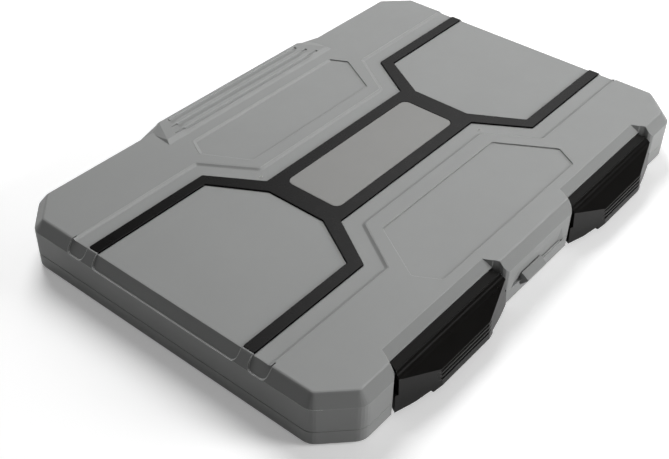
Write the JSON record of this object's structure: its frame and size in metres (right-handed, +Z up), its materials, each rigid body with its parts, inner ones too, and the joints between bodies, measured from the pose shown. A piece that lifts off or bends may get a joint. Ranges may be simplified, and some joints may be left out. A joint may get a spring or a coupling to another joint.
{
  "type": "fishing rig box",
  "caption": "Shallow hinged hard case for fishing rigs, with a black inlay and a blank plate in its lid, front pull latches, a foam bed, a slit hook strip and rig pegs.",
  "frame": {"origin": "centre of the case's plan, on the plane of its underside", "axes": "+X along the case, -Y to the latches, +Y to the hinge, +Z up"},
  "size_m": [0.3502, 0.253, 0.0332],
  "materials": {
    "base_plastic": "satin",
    "lid_plastic": "fine matt grain",
    "black_plastic": "matt",
    "plate_plastic": "fine matt grain",
    "latch_plastic": "satin",
    "steel": "satin",
    "foam": "matt closed-cell foam",
    "strip_foam": "matt closed-cell foam",
    "peg_plastic": "smooth"
  },
  "bodies": {
    "base": {"base_shell": "base_plastic", "hinge_pin": "steel", "foam_bed": "foam", "hook_strip": "strip_foam", "rig_peg_01": "peg_plastic", "rig_peg_02": "peg_plastic", "rig_peg_03": "peg_plastic", "rig_peg_04": "peg_plastic", "rig_peg_05": "peg_plastic", "rig_peg_06": "peg_plastic", "rig_peg_07": "peg_plastic", "rig_peg_08": "peg_plastic", "rig_peg_09": "peg_plastic", "rig_peg_10": "peg_plastic", "rig_peg_11": "peg_plastic", "rig_peg_12": "peg_plastic"},
    "lid": {"lid_shell": "lid_plastic", "lid_inlay": "black_plastic", "centre_plate": "plate_plastic", "lid_pad": "foam", "latch_pin_left": "steel", "latch_pin_right": "steel"},
    "latch_left": {"latch_left": "latch_plastic"},
    "latch_right": {"latch_right": "latch_plastic"}
  },
  "joints": [
    {"name": "lid_hinge", "type": "hinge", "parent": "base", "child": "lid", "pos_m": [0, 0.122, 0.01], "axis": [-1, 0, 0], "range_deg": [0, 120]},
    {"name": "latch_left_pivot", "type": "hinge", "parent": "lid", "child": "latch_left", "pos_m": [-0.0838, -0.1136, 0.0236], "axis": [-1, 0, 0], "range_deg": [0, 75]},
    {"name": "latch_right_pivot", "type": "hinge", "parent": "lid", "child": "latch_right", "pos_m": [0.0838, -0.1136, 0.0236], "axis": [-1, 0, 0], "range_deg": [0, 75]}
  ]
}
